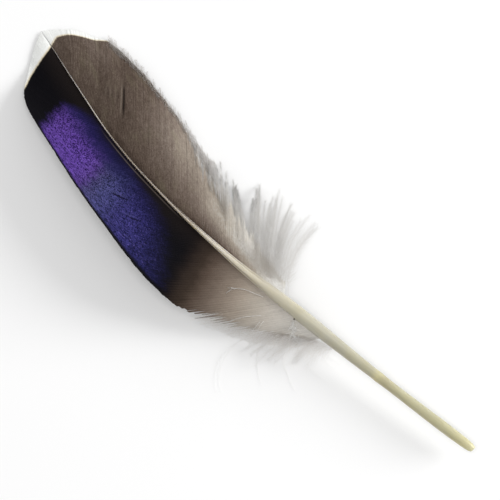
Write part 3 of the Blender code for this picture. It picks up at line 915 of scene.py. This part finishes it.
class Strips:
    """Closed strips, one for each barb of a vane: a raised ramus with a web on both sides of it.

    Arrays are laid out as (barb, step) or (barb, step, 3).
    """

    def __init__(self, vane, first, spacing, slits, length_varies, clump, trim, seed):
        self.vane, self.spacing, self.slits, self.seed = vane, spacing, slits, seed
        self.rng = np.random.default_rng(seed)
        self.x = barb_roots(first, TIP - 0.15, spacing, self.rng)
        self.barbs = len(self.x)
        self.steps = np.linspace(0, 1, STRIP_STEPS) ** STEP_POWER
        self.loose = smoothstep(vane.zip_share(self.x), 1.0, 0.9)
        self.lay_lines(length_varies, clump, trim)
        self.lay_directions()
        self.lay_widths()

    def lay_lines(self, length_varies, clump, trim):
        """Each strip's middle line, moved by drifts, slits and ragged ends."""
        vane, x, rng = self.vane, self.x, self.rng
        ragged = 1 + self.loose * rng.uniform(*RAGGED_ENDS, self.barbs)
        self.ends = np.minimum(vane.zip_share(x) * ragged, 1.0)
        self.share = self.steps[None, :] * self.ends[:, None]
        moved, raised = open_slits(vane, x, self.share, self.slits)
        drift = clump * (ripple(x, CLUMP_WAVES, self.seed)[:, None] * self.share ** 2)
        self.x_eff = np.clip(x[:, None] + drift + moved, vane.start, TIP - 0.02)
        self.reach = trim + rng.normal(0, length_varies, self.barbs)[:, None] * np.ones_like(self.share)
        self.line = vane.point(self.x_eff, self.share, self.reach)
        wave = WAVE_HEIGHT * ripple(x, VANE_WAVES, self.seed + 1)[:, None] * np.sin(2.4 * self.share)
        uneven = rng.normal(0, HEIGHT_VARIES, (self.barbs, 1)) * self.share
        self.line[..., 2] += wave + raised + uneven

    def lay_directions(self):
        """Directions across and out of each strip, and the gap between neighbours."""
        vane, share = self.vane, self.share
        beyond = vane.point(np.minimum(self.x_eff + 0.5 * self.spacing, TIP), share, self.reach)
        before = vane.point(np.maximum(self.x_eff - 0.5 * self.spacing, vane.start), share, self.reach)
        tangent = unit(np.gradient(self.line, axis=1))
        spread = beyond - before
        slide = np.sum(spread * tangent, axis=-1)
        across = spread - tangent * slide[..., None]
        self.gap = np.linalg.norm(across, axis=-1)
        across = unit(across)
        normal = np.cross(tangent, across)
        normal *= np.sign(normal[..., 2:3])
        twist = np.radians(self.rng.normal(0, TWIST, (self.barbs, 1))) * share
        cosine, sine = np.cos(twist)[..., None], np.sin(twist)[..., None]
        self.normal = normal * cosine - across * sine
        across = across * cosine + normal * sine
        slide = np.clip(slide / np.maximum(self.gap, 1e-3), -SLIDE_LIMIT, SLIDE_LIMIT)
        slide = slide * np.maximum(smoothstep(share, 0.5, 0.9), smoothstep(share, 0.16, 0.04))
        self.across = across + tangent * slide[..., None]

    def lay_widths(self):
        """Places across each strip from edge to edge, and how its thickness fades outward."""
        share, loose = self.share, self.loose[:, None]
        free_from = 1 - WEB_FREE * self.rng.uniform(0.6, 1.4, (self.barbs, 1))
        free = smoothstep(self.steps[None, :], free_from, 1.0)
        rounded = smoothstep(share, 0.985, 1.0) * ROUNDING
        gone = rounded * (1 - loose) + 0.9 * free * loose
        half = np.maximum(0.5 * WEB_OVERLAP * self.gap * (1 - gone), 0.04)
        ramus = np.minimum(RAMUS_HALF * (1 - 0.45 * share), 0.7 * half)
        self.fade = (1 - 0.55 * share) * (1 - 0.5 * gone)
        self.places = [-half, -ramus, np.zeros_like(half), ramus, half]

    def rings(self):
        """Points around each strip: five across the top, then five back across the bottom."""
        ring = []
        for places, profile in ((self.places, TOP_PROFILE), (self.places[::-1], BOTTOM_PROFILE[::-1])):
            for offset, lift in zip(places, profile):
                out = self.normal * (lift * self.fade)[..., None]
                ring.append(self.line + self.across * offset[..., None] + out)
        return np.stack(ring, axis=2)

    def faces(self):
        """The strips' sides, and four quads at each end."""
        index = np.arange(self.barbs * STRIP_STEPS * RING).reshape(self.barbs, STRIP_STEPS, RING)
        faces = [tube_faces(self.barbs, STRIP_STEPS, RING)]
        for step, order in ((0, 1), (STRIP_STEPS - 1, -1)):
            for k in range(4):
                quad = np.stack([index[:, step, i] for i in (k, k + 1, 8 - k, 9 - k)], axis=-1)
                faces.append(quad[:, ::order])
        return [face[:, ::-1] for face in faces] if self.vane.side < 0 else faces

    def values(self):
        """Values that the vane's material reads."""
        x, share = self.x[:, None, None], self.share[..., None]
        length = np.linalg.norm(np.diff(self.line, axis=1), axis=-1).sum(axis=1) / self.ends
        length = length[:, None, None]
        across = np.stack([*self.places, *reversed(self.places)], axis=2)
        px, py = self.line[..., 0:1], self.line[..., 1:2]
        aside = np.abs(py - shaft_y(np.clip(px, 0, TIP)))
        along_shaft = x + across * (self.spacing / np.maximum(self.gap, 1e-3))[..., None]
        shade = slit_lines(self.vane, self.x, along_shaft, share, self.slits)
        closed = self.vane.zip_share(self.x)[:, None, None]
        row = (np.arange(self.barbs)[:, None, None] + ATLAS_ROW) / self.barbs
        values = {
            "x": px,
            "aside": aside,
            "edge": (1 - share) * length,
            "band": px - band_border(np.clip(py, BAND_BORDER[0][0], BAND_BORDER[-1][0])),
            "level": LEVEL_SLANT[0] * px + LEVEL_SLANT[1] * py,
            "slant": px + BROWN_SLANT * (py - 12.0),
            "ridge": RIDGE_SHARES,
            "under": UNDERSIDE,
            "barb": self.rng.random((self.barbs, 1, 1)),
            # slit holds the painted shadow line in a slit, lit the painted highlight beside it.
            "slit": np.clip(shade, 0, 1),
            "lit": np.clip(-shade, 0, 1),
            "pale": smoothstep(closed, 0.86, 0.42) * smoothstep(self.steps[:, None], 0.3, 0.95),
            "grain": np.stack(np.broadcast_arrays(x + across, share * length, 0.0), axis=-1),
            "atlas": np.stack(np.broadcast_arrays(0.01 + 0.98 * share, 0.5 * (row + UNDERSIDE)), axis=-1),
        }
        if self.vane.side < 0:
            values["tone"] = inner_tone(px, aside)
        return values


def make_vane(vane, name, material, **layout):
    """A vane of closed strips. layout holds what the strips are laid out by."""
    strips = Strips(vane, **layout)
    skin = Skin()
    skin.add(strips.rings(), strips.faces(), **strips.values())
    return skin.make(name, material)


def shaft_stations():
    """Places along the shaft, closer together at the quill's rounded end."""
    rounded = [0.0, 0.12, 0.3, 0.6, 1.0, 1.5, 2.2]
    return np.concatenate([rounded, np.arange(2.8, TIP - 0.6, 0.6), [TIP - 0.3, TIP + 0.5]])


def shaft_halves(x):
    """Half the width and half the depth of the shaft, with small swellings and a faint node."""
    wobble = 1 + SHAFT_WOBBLE * ripple(x, (3.7, 6.1, 9.3), 5)
    node = 0.05 * np.exp(-((x - 24.6) / 0.9) ** 2) - 0.03 * np.exp(-((x - 26.6) / 0.9) ** 2)
    width = shaft_width(np.minimum(x, TIP)) * 0.5 * (wobble + node)
    depth = shaft_depth(np.minimum(x, TIP)) * 0.5 * wobble
    width[-1] = depth[-1] = 0.05
    return width[:, None], depth[:, None]


def shaft_rings(x, angle):
    """The shaft's rings (station, around, 3), and how much painted shade each point gets in the grooves and
    on the flanks.
    """
    width, depth = shaft_halves(x)
    cosine, sine = np.cos(angle), np.sin(angle)
    grooved = smoothstep(x, 50.0, 62.0)[:, None]
    bellied = smoothstep(x, 36.0, 48.0)[:, None]
    shoulder = np.exp(-((np.abs(cosine) - 0.66) / 0.10) ** 2) * (sine > 0.1)
    belly = np.exp(-(cosine / 0.16) ** 2) * (sine < 0)
    dent = 1 - 0.10 * grooved * shoulder - 0.16 * bellied * belly
    held = np.minimum(x, TIP)
    aside = turned(shaft_direction(held), 90)
    rings = np.zeros((len(x), len(angle), 3))
    middle = np.stack([x, shaft_y(held)], axis=-1)
    rings[..., :2] = middle[:, None] + aside[:, None] * (width * cosine * dent)[..., None]
    rings[..., 2] = shaft_z(held)[:, None] + depth * sine * dent
    rings[0, :, 0] = -QUILL_CAP * 0.4
    # Painted shade on the flanks and underside towards the tip, which leaves a light ridge on top.
    ridge = RIDGE_SHIFT * np.exp(-((x - 74.0) / 10.0) ** 2)[:, None]
    flank = smoothstep(np.abs(cosine - ridge) + (sine < 0), 0.42, 0.72)
    return rings, grooved * shoulder, flank * smoothstep(x, 68.0, 84.0)[:, None]


def make_shaft(material):
    """The shaft as one closed tube with a small pit in the quill's end, and two grooves along
    the top where the vanes grow from it."""
    x = shaft_stations()
    angle = np.linspace(0, 2 * math.pi, SHAFT_AROUND, endpoint=False)
    rings, groove, flank = shaft_rings(x, angle)
    middle = np.array([0.0, float(shaft_y(0.0)), float(shaft_z(0.0))])
    rim = middle + (rings[0] - middle) * 0.45
    rim[:, 0] = -QUILL_CAP * 0.9
    pit = middle + (rings[0] - middle) * 0.30
    pit[:, 0] = 0.15
    bottom = np.array([[0.9, shaft_y(0.9), shaft_z(0.9)]])
    end = np.array([[TIP + 0.9, shaft_y(TIP) - 0.15, shaft_z(TIP)]])
    points = np.concatenate([rings.reshape(-1, 3), rim, pit, bottom, end])

    index = np.arange(groove.size).reshape(groove.shape)
    rim_i, pit_i = index.size + np.arange(SHAFT_AROUND), index.size + SHAFT_AROUND + np.arange(SHAFT_AROUND)
    bottom_i, end_i = np.full(SHAFT_AROUND, len(points) - 2), np.full(SHAFT_AROUND, len(points) - 1)

    def between(near, far):
        return np.stack([np.roll(near, -1), near, far, np.roll(far, -1)], axis=-1)[:, ::-1]

    faces = [tube_faces(1, len(x), SHAFT_AROUND)[:, ::-1], between(index[0], rim_i), between(rim_i, pit_i)]
    faces.append(between(pit_i, bottom_i)[:, 1:])
    faces.append(np.stack([index[-1], np.roll(index[-1], -1), end_i], axis=-1)[:, ::-1])

    ends = 2 * SHAFT_AROUND + 2
    x_all = np.concatenate([np.repeat(x, SHAFT_AROUND), np.zeros(ends - 1), [TIP]])
    turn = np.concatenate([np.tile(angle, len(x)), angle, angle, [0.0, 0.0]]) / (2 * math.pi)
    along = np.clip(points[:, 0] / (TIP + 1), 0, 1)
    skin = Skin()
    skin.add(
        points, faces, x=x_all,
        groove=np.concatenate([groove.ravel(), np.zeros(ends)]),
        flank=np.concatenate([flank.ravel(), np.zeros(ends)]),
        grain=np.stack([x_all, turn * 6.0, np.zeros_like(x_all)], axis=-1),
        atlas=np.stack([0.02 + 0.96 * along, 0.02 + 0.96 * turn], axis=-1),
    )
    return skin.make("shaft", material, 75)


def down_lines(vane, x, rng, curl, lift, stretch, hollow, droop):
    """Curves of loose barbs (barb, step, 3), gathered in tufts of uneven size."""
    borders = x.min() + np.cumsum(DOWN_SPACING * TUFT_SIZE * rng.uniform(0.35, 1.6, len(x)))
    tuft = np.searchsorted(borders, x)
    tufts = tuft.max() + 1
    centre = np.array([x[tuft == i].mean() if (tuft == i).any() else 0.0 for i in range(tufts)])
    share = np.linspace(0, 1, DOWN_STEPS)[None, :]
    gathered = rng.uniform(0.35, 0.85, tufts)[tuft][:, None] * share ** 1.7
    x_eff = x[:, None] + (centre[tuft] - x)[:, None] * gathered
    tuft_reach = rng.uniform(0.94, 1.10, tufts)[tuft]
    reach = (stretch * tuft_reach * rng.uniform(0.84, 1.04, len(x)))[:, None] * np.ones_like(share)
    line = vane.point(x_eff, share, reach)
    _, aside, _ = frames_along(line)
    sway = rng.normal(0, 1, tufts)[tuft] * curl + rng.normal(0, 1, len(x)) * 0.45 * curl
    bend = rng.normal(0, 1, len(x)) * 0.3 * curl
    moved = sway[:, None] * share ** 2.2 + bend[:, None] * np.sin(math.pi * share) * share
    moved = moved + hollow[:, None] * np.sin(math.pi * share)
    moved = moved + (droop * rng.uniform(0.3, 1.4, len(x)))[:, None] * share ** 2
    line = line + aside * moved[..., None]
    rise = lift * rng.random(tufts)[tuft] ** 1.3 + 0.35 * lift * rng.random(len(x))
    line[..., 2] += rise[:, None] * share ** 1.4
    line[..., 2] += 0.25 * np.sin(2 * math.pi * (share * 1.3 + rng.random(len(x))[:, None])) * share
    line[..., 2] = np.maximum(line[..., 2], FLOOR_GAP + 0.04)
    return line, np.broadcast_to(share, line.shape[:2])


def shown_share(share, base):
    """The share of a barb past its closed part, for colours."""
    return np.clip((share - base) / (1 - base), 0, 1)


def add_rami(skin, lines, share, widths, barb_tone, dusk):
    """Thin tapering three-sided stems along the barbs' curves."""
    barbs, steps = lines.shape[:2]
    dusk = np.broadcast_to(dusk, barbs)
    _, aside, normal = frames_along(lines)
    angle = np.array([math.pi / 2, math.pi * 7 / 6, math.pi * 11 / 6])
    half = 0.5 * widths[..., None, None]
    ring = lines[:, :, None] + half * (
        aside[:, :, None] * np.cos(angle)[:, None] + normal[:, :, None] * np.sin(angle)[:, None]
    )
    index = np.arange(barbs * steps * 3).reshape(barbs, steps, 3)
    faces = [tube_faces(barbs, steps, 3)[:, ::-1], index[:, 0], index[:, -1, ::-1]]
    row = ((np.arange(barbs) + 0.5) / barbs)[:, None, None]
    share = share[..., None]
    skin.add(
        ring, faces,
        share=share,
        barb=barb_tone[:, None, None],
        dusk=dusk[:, None, None],
        atlas=np.stack(np.broadcast_arrays(0.02 + 0.96 * share, row), axis=-1),
    )


def along_line(line, share):
    """Points on one barb's curve at these shares of its steps."""
    grid = np.linspace(0, 1, len(line))
    return np.stack([np.interp(share, grid, line[:, k]) for k in range(3)], axis=-1)


def barbule_rows(line, start, rng, spacing, length, spread, crowd, marks):
    """A row for each barbule of one barb: its base, direction and bend (three numbers each), its
    size, its share of the barb, and marks, of which the first varies."""
    total = np.linalg.norm(np.diff(line, axis=0), axis=1).sum()
    count = int((1 - start) * total / spacing)
    if count < 1:
        return []
    share = start + (1 - start) * ((np.arange(count) + rng.random(count)) / count) ** crowd
    tangent = unit(along_line(line, np.minimum(share + 0.04, 1.04)) - along_line(line, share - 0.04))
    aside = unit(np.cross([0.0, 0.0, 1.0], tangent))
    normal = np.cross(tangent, aside)
    rows = []
    for side in (1, -1):
        lean = np.radians(rng.uniform(42, 68, count) - 26 * share)
        roll = rng.normal(0, spread, count)
        out = side * aside * np.cos(roll)[:, None] + normal * np.sin(roll)[:, None]
        direction = tangent * np.cos(lean)[:, None] + out * np.sin(lean)[:, None]
        size = length * (1 - 0.55 * share ** 2) * rng.uniform(0.6, 1.2, count)
        bend = tangent * 0.30 + rng.normal(0, 0.22, (count, 3))
        marked = np.tile(marks, (count, 1))
        marked[:, 0] += rng.normal(0, 0.12, count)
        rows.append(np.column_stack([along_line(line, share), direction, bend, size, share, marked]))
    return rows


def add_barbules(
    skin, lines, starts, rng, barb_tone, dusk, spacing, length, width, base_share, spread=0.6, crowd=1.0,
):
    """Fine curved hairs along both sides of each barb, from the share in starts to its end.

    A crowd above 1 gathers them near the start. One number may stand for all barbs.
    """
    numbers = (starts, dusk, spacing, length, base_share)
    starts, dusk, spacing, length, base_share = (np.broadcast_to(v, len(lines)) for v in numbers)
    rows = []
    for i, line in enumerate(lines):
        marks = (barb_tone[i], (i + 0.5) / len(lines), dusk[i], base_share[i])
        rows += barbule_rows(line, starts[i], rng, spacing[i], length[i], spread, crowd, marks)
    rows = np.concatenate(rows)
    count = len(rows)
    base, direction, bend = rows[:, 0:3], rows[:, 3:6], rows[:, 6:9]
    size, share, tone, row, dark, first_share = rows[:, 9:, None].transpose(1, 0, 2)
    middle = base + direction * (0.5 * size) + bend * (0.25 * size) * 0.5
    tip = base + direction * size + bend * size * 0.5
    first = unit(np.cross(direction, rng.normal(0, 1, (count, 3))))
    second = np.cross(direction, first)
    rings = []
    for centre, half in ((base, 0.5 * width), (middle, 0.36 * width)):
        for angle in (0.0, 2 * math.pi / 3, 4 * math.pi / 3):
            rings.append(centre + half * (first * math.cos(angle) + second * math.sin(angle)))
    points = np.stack([*rings, tip], axis=1)
    points[..., 2] = np.maximum(points[..., 2], FLOOR_GAP * rng.random((count, 1)))
    start = (np.arange(count) * 7)[:, None]
    quads = np.concatenate([start + np.array(q) for q in ((0, 1, 4, 3), (1, 2, 5, 4), (2, 0, 3, 5))])
    tris = np.concatenate([start + np.array(t) for t in ((3, 4, 6), (4, 5, 6), (5, 3, 6), (0, 2, 1))])
    outward = np.array([0, 0, 0, 0.5, 0.5, 0.5, 1.0])
    shown = shown_share(share + 0.12 * outward, first_share)
    atlas = np.stack(np.broadcast_arrays(0.02 + 0.96 * shown, row), axis=-1)
    skin.add(points, [quads, tris], share=shown, barb=tone, dusk=dark, atlas=atlas)


def make_down(
    vane, name, x, starts, base, material, seed, lift, dusk, curl, hollow, droop, stretch, thinning,
    fluff, crowd,
):
    """Loose downy barbs, each with barbules along both sides past the share in starts.

    The colours run from the share in base to the end. These hold one number for each barb: curl
    is how far it sways, hollow and droop how far its middle and its end bend aside, stretch how
    far it reaches, thinning how far apart its barbules are and fluff how long they are.
    """
    rng = np.random.default_rng(seed)
    lines, share = down_lines(vane, x, rng, curl, lift, stretch, hollow, droop)
    tone = rng.random(len(x))
    dusk = np.clip(dusk * rng.uniform(0.5, 1.3, len(x)), 0, 1)
    skin = Skin()
    shown = shown_share(share, base[:, None])
    widths = RAMUS_WIDTH * (1 - 0.72 * share) * (0.25 + 0.75 * smoothstep(shown, 0.0, 0.3))
    add_rami(skin, lines, shown, widths, tone, dusk)
    length = BARBULE_LENGTH * fluff * rng.uniform(0.85, 1.15, len(x))
    spacing = BARBULE_SPACING * thinning
    add_barbules(skin, lines, starts, rng, tone, dusk, spacing, length, BARBULE_WIDTH, base, crowd=crowd)
    return skin.make(name, material, 80)


def make_inner_down(material, rng):
    """The tufts of the inner vane's base: the first ones curl back, and later ones have dark tips."""
    x = barb_roots(inner_vane.start, INNER_DOWN_END, DOWN_SPACING, rng)
    starts = inner_vane.zip_share(x) - 0.42 + 0.24 * smoothstep(x, 60.0, 69.0)
    starts = np.clip(starts, 0.05, 0.85)
    first = smoothstep(x, 55.0, 50.5)
    make_down(
        inner_vane, "inner_down", x,
        starts=starts + 0.08 * first,
        base=np.clip(starts + 0.1, 0, 0.85) - 0.5 * first,
        material=material,
        seed=SEED + 21,
        lift=2.0,
        dusk=0.1 + 0.9 * smoothstep(x, 54.0, 64.0),
        curl=0.7 - 0.3 * first,
        hollow=1.1 * first,
        droop=-1.5 * first,
        stretch=1.0 - 0.03 * first,
        thinning=1.0 + 0.3 * first,
        fluff=1.0 + 0.5 * first,
        crowd=0.9,
    )


def make_outer_down(material, rng):
    """The thin down of the outer vane's base, whose first barbs droop over the surface."""
    x = barb_roots(outer_vane.start, OUTER_DOWN_END, DOWN_SPACING, rng)
    starts = np.clip(outer_vane.zip_share(x) - 0.20, 0.02, 0.8)
    first = smoothstep(x, 47.5, 40.5)
    make_down(
        outer_vane, "outer_down", x,
        starts=starts,
        base=np.clip(starts + 0.1, 0, 0.85) - 0.7 * smoothstep(x, 43.0, 38.0),
        material=material,
        seed=SEED + 22,
        lift=0.8,
        dusk=0.3 * smoothstep(x, 44.5, 40.0),
        curl=0.9 + 0.5 * first,
        hollow=np.zeros(len(x)),
        droop=3.0 * first,
        stretch=0.98 + 0.22 * first,
        thinning=3.4 - 1.3 * first,
        fluff=1.0 + 0.7 * first,
        crowd=1.3,
    )


def make_fringe(vane, name, material, start, end, depth, length, trim, thinning, seed):
    """Loose barbules along a vane's edge, where the last of each barb has come unhooked."""
    rng = np.random.default_rng(seed)
    x = barb_roots(start, end, FRINGE_SPACING, rng)
    share = np.broadcast_to(np.linspace(0.0, 1.0, DOWN_STEPS), (len(x), DOWN_STEPS))
    reach = (trim + FRINGE_REACH * rng.random(len(x)) ** 2)[:, None] * np.ones_like(share)
    line = vane.point(x[:, None], share, reach)
    total = np.linalg.norm(np.diff(line, axis=1), axis=-1).sum(axis=1)
    starts = np.maximum(vane.zip_share(x) - depth / total, 0.05)
    tone = rng.random(len(x))
    tail_share = starts[:, None] + (1 - starts[:, None]) * np.linspace(0, 1, 5)[None, :]
    tails = vane.point(x[:, None], tail_share, reach[:, :1])
    shown = np.broadcast_to(np.linspace(0.5, 1, 5), tail_share.shape)
    skin = Skin()
    add_rami(skin, tails, shown, np.full(tail_share.shape, FRINGE_WIDTH), tone, dusk=0.0)
    add_barbules(
        skin, line, starts, rng, tone, dusk=0.0, spacing=FRINGE_BARBULES * thinning, length=length,
        width=0.8 * FRINGE_WIDTH, base_share=0.0, spread=0.5,
    )
    return skin.make(name, material, 80)


def smooth_line(points, steps):
    """A smooth curve in plan through these points."""
    points = np.array(points)
    place = np.linspace(0, 1, len(points))
    fine = np.linspace(0, 1, steps)
    return np.stack([smooth_curve(list(zip(place, points[:, k])))(fine) for k in range(2)], axis=-1)


def make_loose_hairs(name, lines, material, seed, widths, spacing, length, width):
    """Separate thin barbs, widths across at the root, with a few short barbules."""
    rng = np.random.default_rng(seed)
    lines = np.array(lines)
    share = np.broadcast_to(np.linspace(0.5, 1, lines.shape[1]), lines.shape[:2])
    tone = rng.uniform(0.6, 1.0, len(lines))
    skin = Skin()
    add_rami(skin, lines, share, widths * (1.4 - 0.9 * share), tone, dusk=0.0)
    add_barbules(
        skin, lines, 0.15, rng, tone, dusk=0.0, spacing=spacing, length=length, width=width, base_share=0.0,
    )
    return skin.make(name, material, 80)


def make_strays(material):
    """Pale barbs that have come loose and lie on the outer vane's base."""
    fine = np.linspace(0, 1, 20)
    lines = []
    for route in STRAY_BARBS:
        plan = smooth_line(route, len(fine))
        height = top_of_outer(plan) + STRAY_LIFT * (0.5 + 0.5 * np.sin(math.pi * fine))
        lines.append(np.concatenate([plan, height[:, None]], axis=-1))
    return make_loose_hairs(
        "stray_barbs", lines, material, SEED + 40, widths=STRAY_WIDTH, spacing=0.22, length=0.5, width=0.03,
    )


def make_tuft(material):
    """A small curled tuft of white down beside the shaft, with its hairs in all directions."""
    rng = np.random.default_rng(SEED + 60)
    spine = smooth_line(TUFT_LINE, 60)
    t = np.linspace(0, 1, 12)
    lines = []
    for _ in range(TUFT_HAIRS):
        start = spine[rng.integers(0, 60)]
        angle = rng.uniform(0, 2 * math.pi)
        size = rng.uniform(0.5, 2.0)
        curl = rng.normal(0, 1.6)
        heading = angle + curl * t
        path = np.cumsum(np.stack([np.cos(heading), np.sin(heading)], axis=-1), axis=0) * size / len(t)
        plan = start + path
        height = top_of_outer(plan[:1]) + 0.3 + 1.1 * rng.random() * np.sin(math.pi * t)
        lines.append(np.concatenate([plan, height[:, None]], axis=-1))
    return make_loose_hairs(
        "tuft", lines, material, SEED + 61, widths=0.07, spacing=0.16, length=0.35, width=0.028,
    )


def make_wisps(material):
    """Long faint barbs of down that curl out over the surface from the outer vane's base."""
    rng = np.random.default_rng(SEED + 50)
    lines = []
    t = np.linspace(0, 1, 22)[:, None]
    for root, bend_x, bend_y, end_x, end_y in WISPS:
        for k in range(2):
            start = outer_vane.point(root + 0.3 * k, 0.9)
            off = rng.normal(0, 0.6, 2) * k
            bend = np.array([bend_x, bend_y]) + off
            end = np.array([end_x, end_y]) + 1.8 * off
            end = bend + (end - bend) * (1 - 0.25 * k * rng.random())
            plan = start[:2] * (1 - t) ** 2 + bend * 2 * t * (1 - t) + end * t * t
            height = np.maximum(start[2] * np.clip(1 - t / 0.6, 0, 1), 0.16)
            lines.append(np.concatenate([plan, height], axis=-1))
    return make_loose_hairs(
        "wisps", lines, material, SEED + 51, widths=0.04, spacing=0.26, length=0.7, width=0.014,
    )


def make_speck(material):
    """A dark grain of dirt caught in the down beside the shaft."""
    bpy.ops.mesh.primitive_ico_sphere_add(subdivisions=2, radius=SPECK_RADIUS * MM)
    speck = bpy.context.object
    speck.name = "speck"
    height = float(top_of_outer(np.array([SPECK]))[0]) + 1.1
    speck.location = to_frame(np.array([*SPECK, height]))
    speck.scale = (1.0, 0.8, 0.7)
    speck.data.materials.append(material)
    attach(speck, "root")
    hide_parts("feather")


def speck_finish():
    finish = Finish("dirt")
    cloud = finish.noise(finish.place(), 4000.0, 2.0)
    return finish.finish(Base_Color=finish.mix(cloud, rgb(24, 20, 18), rgb(60, 50, 44)), Roughness=0.9)


def top_of_outer(plan):
    """The height of the outer vane at places in plan, found on a grid of its own points."""
    x = np.linspace(outer_vane.start, TIP, 220)
    share = np.linspace(0, 1, 40)
    grid = outer_vane.point(x[:, None], share[None, :]).reshape(-1, 3)
    gaps = np.linalg.norm(plan[:, None] - grid[None, :, :2], axis=-1)
    return grid[np.argmin(gaps, axis=1), 2]


# Stage

def make_floor():
    bpy.ops.mesh.primitive_plane_add(size=FLOOR_SIZE)
    floor = bpy.context.object
    floor.name = "floor"
    material = bpy.data.materials.new("floor")
    material.use_nodes = True
    shader = material.node_tree.nodes["Principled BSDF"]
    shader.inputs["Base Color"].default_value = (FLOOR_ALBEDO,) * 3 + (1.0,)
    shader.inputs["Roughness"].default_value = 1.0
    shader.inputs["Specular IOR Level"].default_value = 0.0
    floor.data.materials.append(material)


def make_lamp(name, towards, elevation, size, power):
    """A round soft light that faces the feather from this direction in plan."""
    lamp = bpy.data.lights.new(name, "AREA")
    lamp.shape = "DISK"
    lamp.size = size
    lamp.energy = power
    made = bpy.data.objects.new(name, lamp)
    bpy.context.scene.collection.objects.link(made)
    tilt = math.radians(elevation)
    direction = Vector((*(Vector(towards).normalized() * math.cos(tilt)), math.sin(tilt)))
    made.location = direction * LAMP_DISTANCE
    made.rotation_euler = direction.to_track_quat("Z", "Y").to_euler()
    return made


def make_light():
    world = bpy.data.worlds.new("sky")
    bpy.context.scene.world = world
    world.use_nodes = True
    background = world.node_tree.nodes["Background"]
    background.inputs["Color"].default_value = (1.0, 1.0, 1.0, 1.0)
    background.inputs["Strength"].default_value = SKY_STRENGTH
    make_lamp("key", KEY_TOWARDS, KEY_ELEVATION, KEY_SIZE, KEY_POWER)
    fill = make_lamp("fill", FILL_TOWARDS, FILL_ELEVATION, FILL_SIZE, FILL_POWER)
    fill.visible_glossy = False


def make_camera():
    data = bpy.data.cameras.new("camera")
    data.lens = LENS
    data.sensor_width = SENSOR
    data.clip_start = 0.01
    data.clip_end = 50.0
    camera = bpy.data.objects.new("camera", data)
    bpy.context.scene.collection.objects.link(camera)
    distance = VIEW_WIDTH * LENS / SENSOR
    centre = to_frame(np.array([*VIEW_CENTRE, 0.0]))
    camera.location = (centre[0], centre[1], (VIEW_HEIGHT + distance) * MM)
    camera.rotation_euler = (0.0, 0.0, math.radians(VIEW_TURN))
    bpy.context.scene.camera = camera


def main():
    make_floor()
    make_light()
    make_camera()
    bpy.context.scene.view_settings.view_transform = "Standard"

    make_shaft(shaft_finish())
    make_vane(
        outer_vane, "outer_vane", outer_vane_finish(), first=OUTER_FIRST, spacing=OUTER_SPACING,
        slits=OUTER_SLITS, length_varies=0.0015, clump=0.03, trim=0.998, seed=SEED,
    )
    make_vane(
        inner_vane, "inner_vane", inner_vane_finish(), first=INNER_FIRST, spacing=INNER_SPACING,
        slits=INNER_SLITS, length_varies=0.004, clump=0.15, trim=0.98, seed=SEED + 3,
    )

    down = {name: down_finish(name, *colours) for name, colours in DOWN_COLOURS.items()}
    rng = np.random.default_rng(SEED + 20)
    make_inner_down(down["inner_down"], rng)
    make_outer_down(down["outer_down"], rng)
    make_fringe(
        outer_vane, "outer_fringe", down["base_down"], start=38.5, end=51.0, depth=1.6,
        length=1.3, trim=0.97, thinning=2.2, seed=SEED + 31,
    )
    make_fringe(
        inner_vane, "inner_fringe", down["edge_down"], start=68.0, end=104.0, depth=1.8,
        length=0.8, trim=0.98, thinning=1.0, seed=SEED + 30,
    )
    make_strays(down["pale_down"])
    make_tuft(down["pale_down"])
    make_wisps(down["pale_down"])
    make_speck(speck_finish())


main()
